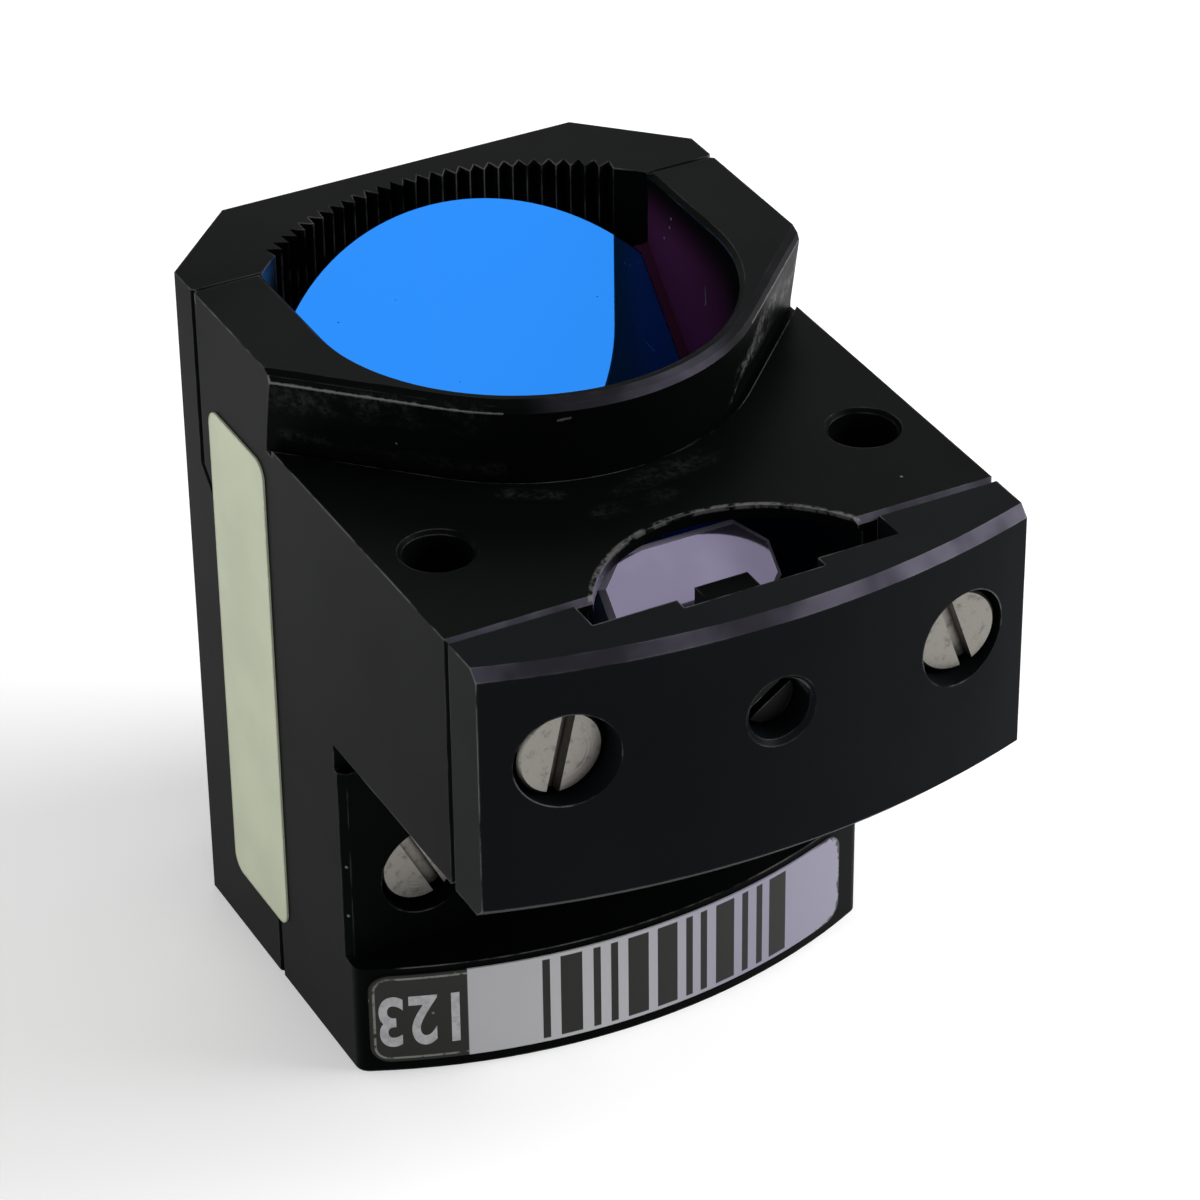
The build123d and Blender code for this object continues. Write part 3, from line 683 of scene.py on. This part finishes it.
class StageSettings(bpy.types.PropertyGroup):
    """Camera, lamps and floor."""

    camera_place: FloatVectorProperty(
        name="Camera Place", description="Where the camera stands", subtype="TRANSLATION",
        unit="LENGTH", default=(-0.114775, -0.230308, 0.191382), precision=6)
    azimuth: FloatProperty(
        name="Camera Azimuth", description="Direction in which the camera looks, from +Y to +X",
        subtype="ANGLE", unit="ROTATION", default=radians(27.522))
    elevation: FloatProperty(
        name="Camera Elevation", description="Angle at which the camera looks down",
        subtype="ANGLE", unit="ROTATION", default=radians(33.178))
    roll: FloatProperty(
        name="Camera Roll", description="Tilt of the horizon", subtype="ANGLE",
        unit="ROTATION", default=radians(-0.669))
    lens: FloatProperty(
        name="Lens", description="Focal length on a sensor 36 mm wide, in millimetres",
        default=145.65, min=10.0, max=500.0)
    floor: FloatVectorProperty(
        name="Floor", description="Pale floor", subtype="COLOR", default=(0.93, 0.93, 0.93),
        min=0.0, max=1.0)
    floor_lift: FloatProperty(
        name="Floor Lift", description="How much whiter the floor is to the camera",
        default=0.22, min=0.0, max=1.0)
    sky: FloatProperty(
        name="Sky Light", description="Strength of the even light from all round",
        default=0.55, min=0.0, max=5.0)
    lamp_place: FloatVectorProperty(
        name="Lamp Place", description="Middle of the large soft lamp", subtype="TRANSLATION",
        unit="LENGTH", default=(0.40, -0.20, 0.29))
    lamp: FloatProperty(
        name="Lamp", description="Power of the large soft lamp", subtype="POWER",
        unit="POWER", default=2.6, min=0.0, max=100.0)
    side_lamp_place: FloatVectorProperty(
        name="Side Lamp Place", description="Middle of the lamp on the left",
        subtype="TRANSLATION", unit="LENGTH", default=(-0.50, -0.12, 0.14))
    side_lamp: FloatProperty(
        name="Side Lamp", description="Power of the weaker lamp on the left", subtype="POWER",
        unit="POWER", default=0.7, min=0.0, max=100.0)


class MIRRORMODULE_OT_black_parts(bpy.types.Operator):
    """Gives the milled parts their satin black anodising"""

    bl_idname = "mirror_module.black_parts"
    bl_label = "Black Parts"

    def execute(self, context):
        look = context.scene.mirror_module_finish
        inner = inner_finish(look)
        for node in INNER_NODES:
            wear_material(node, inner)
        wear_material("front_body", front_finish(look))
        wear_material("rear_body", rear_finish(look))
        wear_material("front_plate", plate_finish(look))
        return {"FINISHED"}


class MIRRORMODULE_OT_mirror(bpy.types.Operator):
    """Gives the beam splitter its blue reflecting coating"""

    bl_idname = "mirror_module.mirror"
    bl_label = "Dichroic Mirror"

    def execute(self, context):
        look = context.scene.mirror_module_finish
        material, graph, shader = new_material("dichroic_coating")
        marks = thin_lines(graph, MIRROR_MARKS)
        dust = graph.effect("Dust Specks", Cells=700.0, Size=0.05, Share=0.02)
        soiled = graph.math("MAXIMUM", marks, graph.math("MULTIPLY", dust, 0.5))
        tint = graph.mix(soiled, colour(look.mirror), colour(look.mirror_dust))
        graph.put(shader, "Base Color", tint)
        graph.put(shader, "Roughness", graph.math("MULTIPLY_ADD", soiled, 0.4, 0.02))
        shader.inputs["Metallic"].default_value = 0.94
        wear_material("dichroic_mirror", material)
        return {"FINISHED"}


class MIRRORMODULE_OT_light_trap(bpy.types.Operator):
    """Gives the light trap's glass its pale violet gloss"""

    bl_idname = "mirror_module.light_trap"
    bl_label = "Light Trap Glass"

    def execute(self, context):
        look = context.scene.mirror_module_finish
        material, graph, shader = new_material("trap_glass_coating")
        place = graph.place()
        worn = graph.effect("Edge Wear", Radius=0.00015, Amount=0.7, Patch_Scale=500.0)
        cloud = graph.ramp(graph.noise(place, 260.0, 2.0), 0.35, 0.7)
        tint = graph.mix(cloud, colour(look.trap), colour(look.trap, 0.86))
        # Painted shade: the glass darker towards its right
        painted_shade_right = graph.ramp(graph.parts(place)[0], 0.0010, 0.0045)
        tint = graph.mix(graph.math("MULTIPLY", painted_shade_right, 0.35), tint, colour(look.trap, 0.45))
        facing = graph.vector("DOT_PRODUCT", graph.normal(), TRAP_FACE, output=1)
        ground = graph.ramp(facing, 0.985, 0.93)
        tint = graph.mix(ground, tint, colour(look.ground_glass))
        graph.put(shader, "Base Color", graph.mix(worn, tint, colour(look.glass_edge)))
        graph.put(shader, "Roughness", graph.math("MULTIPLY_ADD", ground, 0.35, 0.08))
        graph.put(shader, "Metallic", graph.math("MULTIPLY_ADD", ground, -0.7, 0.80))
        wear_material("trap_glass", material)
        return {"FINISHED"}


class MIRRORMODULE_OT_fasteners(bpy.types.Operator):
    """Gives the screws and pins their turned steel"""

    bl_idname = "mirror_module.fasteners"
    bl_label = "Screws and Pins"

    def steel(self, look, node):
        low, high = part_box(node)
        centre = (low + high) / 2
        material, graph, shader = new_material("turned_nickel_" + node)
        place = graph.place()
        rings = graph.effect("Turning Marks", Centre_X=centre.x, Centre_Z=centre.z)
        grime = graph.ramp(graph.noise(place, 1400.0, 4.0, 0.65), 0.50, 0.75)
        tint = graph.mix(grime, colour(look.steel), colour(look.steel, 0.5))
        # Painted shade: darker where ambient occlusion finds slots and corners
        open_air = graph.add("ShaderNodeAmbientOcclusion", {"Distance": 0.0005},
                             samples=8).outputs["AO"]
        crevice_shade = graph.math("MULTIPLY", graph.ramp(open_air, 0.85, 0.45), 0.8)
        graph.put(shader, "Base Color", graph.mix(crevice_shade, tint, colour(look.crevice_shade)))
        graph.put(shader, "Roughness", graph.math("MULTIPLY_ADD", rings, 0.25, 0.24))
        shader.inputs["Metallic"].default_value = 1.0
        bump(graph, shader, rings, 0.000012, 0.6)
        return material

    def execute(self, context):
        look = context.scene.mirror_module_finish
        for node in STEEL_NODES:
            wear_material(node, self.steel(look, node))
        material, graph, shader = new_material("blackened_steel")
        worn = graph.effect("Edge Wear", Radius=0.00012, Amount=0.9, Patch_Scale=700.0)
        graph.put(shader, "Base Color", graph.mix(worn, colour(look.dark_steel), colour(look.worn)))
        shader.inputs["Metallic"].default_value = 0.8
        shader.inputs["Roughness"].default_value = 0.45
        bump(graph, shader, graph.effect("Etched Grain"), 0.000004, 0.8)
        wear_material("trap_set_screw", material)
        return {"FINISHED"}


class MIRRORMODULE_OT_felt_strips(bpy.types.Operator):
    """Gives the strips behind the carrier their felt"""

    bl_idname = "mirror_module.felt_strips"
    bl_label = "Felt Strips"

    def execute(self, context):
        look = context.scene.mirror_module_finish
        material, graph, shader = new_material("black_felt")
        fibres = graph.noise(graph.place(), 6000.0, 5.0, 0.75)
        tint = graph.mix(fibres, colour(look.felt), colour(look.felt, 2.4))
        graph.put(shader, "Base Color", tint)
        shader.inputs["Roughness"].default_value = 0.95
        shader.inputs["Sheen Weight"].default_value = 0.3
        bump(graph, shader, fibres, 0.00006)
        for node in FELT_NODES:
            wear_material(node, material)
        return {"FINISHED"}


class MIRRORMODULE_OT_side_label(bpy.types.Operator):
    """Gives the film on the left side its pale green paper look"""

    bl_idname = "mirror_module.side_label"
    bl_label = "Side Label"

    def execute(self, context):
        label = context.scene.mirror_module_label
        material, graph, shader = new_material("pale_green_film")
        place = graph.place()
        low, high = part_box("side_label")
        middle, half = (low + high) / 2, (high - low) / 2
        _, y, z = graph.parts(place)
        edge = graph.effect("Rounded Border", Across=graph.math("SUBTRACT", y, middle.y),
                            Up=graph.math("SUBTRACT", z, middle.z), Half_Width=half.y,
                            Half_Height=half.z, Corner=FILM_CORNER)
        soft = graph.ramp(graph.noise(place, 160.0, 3.0), 0.3, 0.7)
        tint = graph.mix(soft, colour(label.side_film), colour(label.side_film, 0.90))
        ragged = graph.math("MULTIPLY_ADD", graph.noise(place, 1500.0, 4.0, 0.7), 0.0004, -0.00035)
        soiled = graph.ramp(graph.math("SUBTRACT", edge, ragged), -0.0001, 0.0002)
        tint = graph.mix(graph.math("MULTIPLY", soiled, 0.5), tint, colour(label.side_dirt))
        dust = graph.effect("Dust Specks", Cells=500.0, Size=0.07, Share=0.06)
        tint = graph.mix(graph.math("MULTIPLY", dust, 0.5), tint, colour(label.side_dust))
        graph.put(shader, "Base Color", tint)
        shader.inputs["Roughness"].default_value = 0.6
        shader.inputs["Specular IOR Level"].default_value = 0.25
        bump(graph, shader, graph.noise(place, 3500.0, 3.0), 0.000006, 0.5)
        wear_material("side_label", material)
        return {"FINISHED"}


# Bars of the foot's film: where each starts along the foot, and its width, in millimetres
BARS = (
    (-7.0, 0.50), (-5.8, 1.45), (-3.6, 0.50), (-2.4, 0.50), (-1.2, 1.45), (0.9, 1.45),
    (3.0, 0.50), (4.1, 0.50), (5.3, 1.45), (7.4, 0.50), (8.6, 0.50), (9.7, 1.45),
)


class MIRRORMODULE_OT_foot_label(bpy.types.Operator):
    """Prints the film on the foot: a dark field with plain numbers, and bars"""

    bl_idname = "mirror_module.foot_label"
    bl_label = "Foot Label"

    def film(self, label):
        """Prints the film, and says its radius, its left end along the foot and its middle."""
        low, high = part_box("foot_label")
        outer = TURRET_AXIS - low.y
        middle = (low.z + high.z) / 2
        start = outer * asin(low.x / outer)
        end = outer * asin(high.x / outer)
        material, graph, shader = new_material("printed_film")
        place = graph.place()
        x, y, z = graph.parts(place)
        forward = graph.math("SUBTRACT", TURRET_AXIS, y)
        along = graph.math("MULTIPLY", graph.math("ARCTAN2", x, forward), outer)
        edge = graph.effect("Rounded Border",
                            Across=graph.math("SUBTRACT", along, (start + end) / 2),
                            Up=graph.math("SUBTRACT", z, middle), Half_Width=(end - start) / 2,
                            Half_Height=(high.z - low.z) / 2, Corner=FILM_CORNER)
        # Painted light: lilac and darker towards the film's right end
        tint = graph.mix(graph.ramp(along, -0.006, 0.010), colour(label.foot_film),
                         colour(label.foot_film_painted_end))
        bars = graph.largest([
            graph.math("COMPARE", along, (first + width / 2) * MM, width / 2 * MM)
            for first, width in BARS])
        printed = graph.ramp(edge, -0.00022, -0.00030)
        tint = graph.mix(graph.math("MULTIPLY", bars, printed), tint, colour(label.ink))
        field = graph.ramp(along, label.field_end + 0.00004, label.field_end - 0.00004)
        tint = graph.mix(field, tint, colour(label.ink))
        broken = graph.ramp(graph.noise(place, 900.0, 4.0, 0.7), 0.36, 0.50)
        gap = graph.math("ABSOLUTE", graph.math("ADD", edge, FRAME_INSET))
        line = graph.product(graph.ramp(gap, 0.00010, 0.00005), field, broken)
        tint = graph.mix(line, tint, colour(label.frame_line))
        nicks = graph.math("MULTIPLY_ADD", graph.noise(place, 1300.0, 4.0, 0.75), -0.0012, 0.00048)
        nicked = graph.ramp(graph.math("SUBTRACT", edge, nicks), -0.00003, 0.00003)
        far = graph.ramp(along, 0.0135, 0.0150)
        tint = graph.mix(graph.math("MULTIPLY", nicked, far), tint, colour(label.torn_end))
        dust = graph.effect("Dust Specks", Cells=800.0, Size=0.09, Share=0.08)
        tint = graph.mix(graph.math("MULTIPLY", dust, field), tint, colour(label.field_dust))
        graph.put(shader, "Base Color", tint)
        shader.inputs["Roughness"].default_value = 0.38
        shader.inputs["Specular IOR Level"].default_value = 0.2
        bump(graph, shader, graph.noise(place, 2500.0, 3.0), 0.000005, 0.5)
        wear_material("foot_label", material)
        return outer, start, middle

    def flat_numbers(self, context, label):
        """Mesh of the numbers, flat and the right way up."""
        words = bpy.data.curves.new("foot_numbers", "FONT")
        words.body = label.numbers
        words.size = label.number_height * FONT_SIZE
        words.align_x = "CENTER"
        words.align_y = "CENTER"
        words.space_character = NUMBER_SPACING
        words.offset = label.number_height * NUMBER_BOLDNESS
        words.extrude = NUMBER_RELIEF
        flat = bpy.data.objects.new("foot_numbers_flat", words)
        context.collection.objects.link(flat)
        context.view_layer.update()
        mesh = bpy.data.meshes.new_from_object(
            flat.evaluated_get(context.evaluated_depsgraph_get()))
        bpy.data.objects.remove(flat)
        mesh.name = "foot_numbers"
        return mesh

    def numbers(self, context, label, outer, start, middle):
        """Bends the numbers round the foot, upside down in the dark field."""
        mesh = self.flat_numbers(context, label)
        field_middle = (start + label.field_end) / 2 + NUMBER_SHIFT
        shape = bmesh.new()
        shape.from_mesh(mesh)
        upside_down = Matrix.Diagonal((-label.number_width, -1.0, 1.0, 1.0))
        shape.transform(upside_down)
        for vertex in shape.verts:
            across, up, raised = vertex.co
            radius = outer + raised
            angle = (field_middle + across) / outer
            vertex.co = (radius * sin(angle), TURRET_AXIS - radius * cos(angle), middle + up)
        bmesh.ops.recalc_face_normals(shape, faces=shape.faces)
        shape.to_mesh(mesh)
        shape.free()
        piece = bpy.data.objects.new("foot_numbers", mesh)
        context.collection.objects.link(piece)
        material, graph, shader = new_material("number_ink")
        worn = graph.ramp(graph.noise(graph.place(), 1500.0, 4.0, 0.7), 0.35, 0.6)
        tint = graph.mix(worn, colour(label.foot_film, 0.75), colour(label.foot_film))
        graph.put(shader, "Base Color", tint)
        shader.inputs["Roughness"].default_value = 0.4
        shader.inputs["Specular IOR Level"].default_value = 0.2
        mesh.materials.clear()
        mesh.materials.append(material)
        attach(piece, "root")

    def execute(self, context):
        label = context.scene.mirror_module_label
        outer, start, middle = self.film(label)
        self.numbers(context, label, outer, start, middle)
        return {"FINISHED"}


class MIRRORMODULE_OT_stage(bpy.types.Operator):
    """Sets up the floor, the sky, the lamps and the camera"""

    bl_idname = "mirror_module.stage"
    bl_label = "Studio Stage"

    def floor(self, context, stage):
        mesh = bpy.data.meshes.new("studio_floor")
        sheet = bmesh.new()
        bmesh.ops.create_grid(sheet, x_segments=1, y_segments=1, size=4.0)
        sheet.to_mesh(mesh)
        sheet.free()
        piece = bpy.data.objects.new("studio_floor", mesh)
        context.collection.objects.link(piece)
        material, graph, shader = new_material("pale_floor")
        graph.put(shader, "Base Color", colour(stage.floor))
        shader.inputs["Roughness"].default_value = 0.9
        shader.inputs["Specular IOR Level"].default_value = 0.0
        lift = graph.math("MULTIPLY", self.seen(graph), stage.floor_lift)
        graph.put(shader, "Emission Color", graph.add("ShaderNodeCombineColor", {
            0: lift, 1: lift, 2: lift}).outputs[0])
        shader.inputs["Emission Strength"].default_value = 1.0
        mesh.materials.append(material)

    def seen(self, graph):
        """1 for what the camera sees, directly, in gloss or through glass."""
        path = graph.add("ShaderNodeLightPath").outputs
        return graph.largest([path["Is Camera Ray"], path["Is Glossy Ray"],
                              path["Is Transmission Ray"]])

    def sky(self, context, stage):
        world = bpy.data.worlds.new("studio_sky")
        world.use_nodes = True
        graph = Graph(world.node_tree)
        strength = graph.add("ShaderNodeMix", {0: self.seen(graph), 2: stage.sky, 3: 1.0},
                             data_type="FLOAT")
        light = graph.add("ShaderNodeBackground",
                          {"Color": (1, 1, 1, 1), "Strength": strength.outputs[0]})
        output = graph.add("ShaderNodeOutputWorld")
        graph.tree.links.new(light.outputs[0], output.inputs["Surface"])
        context.scene.world = world

    def lamp(self, context, name, place, size, power):
        data = bpy.data.lights.new(name, "AREA")
        data.shape = "DISK"
        data.size = size
        data.energy = power
        lamp = bpy.data.objects.new(name, data)
        lamp.location = place
        aim = Vector((0.0, 0.0, AIM_HEIGHT)) - lamp.location
        lamp.rotation_euler = aim.to_track_quat("-Z", "Y").to_euler()
        context.collection.objects.link(lamp)

    def camera(self, context, stage):
        azimuth, elevation, roll = stage.azimuth, stage.elevation, stage.roll
        forward = Vector((sin(azimuth) * cos(elevation), cos(azimuth) * cos(elevation),
                          -sin(elevation)))
        right = Vector((cos(azimuth), -sin(azimuth), 0.0))
        up = right.cross(forward)
        tilted_right = cos(roll) * right + sin(roll) * up
        tilted_up = cos(roll) * up - sin(roll) * right
        turn = Matrix((tilted_right, tilted_up, -forward)).transposed()
        data = bpy.data.cameras.new("photo_camera")
        data.sensor_width = 36.0
        data.lens = stage.lens
        data.clip_start = 0.01
        camera = bpy.data.objects.new("photo_camera", data)
        camera.matrix_world = Matrix.Translation(stage.camera_place) @ turn.to_4x4()
        context.collection.objects.link(camera)
        context.scene.camera = camera

    def execute(self, context):
        stage = context.scene.mirror_module_stage
        context.scene.view_settings.view_transform = "Standard"
        self.floor(context, stage)
        self.sky(context, stage)
        self.lamp(context, "soft_lamp", stage.lamp_place, 0.30, stage.lamp)
        self.lamp(context, "side_lamp", stage.side_lamp_place, 0.40, stage.side_lamp)
        self.camera(context, stage)
        return {"FINISHED"}


class MIRRORMODULE_PT_panel(bpy.types.Panel):
    """Lists the pieces of the module and the stage"""

    bl_idname = "MIRRORMODULE_PT_panel"
    bl_label = "Mirror Module"
    bl_space_type = "VIEW_3D"
    bl_region_type = "UI"
    bl_category = "Mirror Module"

    def draw(self, context):
        column = self.layout.column()
        for operator in OPERATORS:
            column.operator(operator.bl_idname)
        for settings in (context.scene.mirror_module_finish, context.scene.mirror_module_label,
                         context.scene.mirror_module_stage):
            box = self.layout.box()
            for name in settings.bl_rna.properties.keys():
                if name not in ("rna_type", "name"):
                    box.prop(settings, name)


OPERATORS = (
    MIRRORMODULE_OT_black_parts,
    MIRRORMODULE_OT_mirror,
    MIRRORMODULE_OT_light_trap,
    MIRRORMODULE_OT_fasteners,
    MIRRORMODULE_OT_felt_strips,
    MIRRORMODULE_OT_side_label,
    MIRRORMODULE_OT_foot_label,
    MIRRORMODULE_OT_stage,
)
SETTINGS = {
    "mirror_module_finish": FinishSettings,
    "mirror_module_label": LabelSettings,
    "mirror_module_stage": StageSettings,
}


def register():
    for name, settings in SETTINGS.items():
        bpy.utils.register_class(settings)
        setattr(bpy.types.Scene, name, PointerProperty(type=settings))
    for item in (*OPERATORS, MIRRORMODULE_PT_panel):
        bpy.utils.register_class(item)


def unregister():
    for item in reversed((*OPERATORS, MIRRORMODULE_PT_panel)):
        bpy.utils.unregister_class(item)
    for name, settings in SETTINGS.items():
        delattr(bpy.types.Scene, name)
        bpy.utils.unregister_class(settings)


def main():
    """Builds the finished module on its stage."""
    register()
    module = bpy.ops.mirror_module
    module.black_parts()
    module.mirror()
    module.light_trap()
    module.fasteners()
    module.felt_strips()
    module.side_label()
    module.foot_label()
    module.stage()


if __name__ == "__main__":
    main()
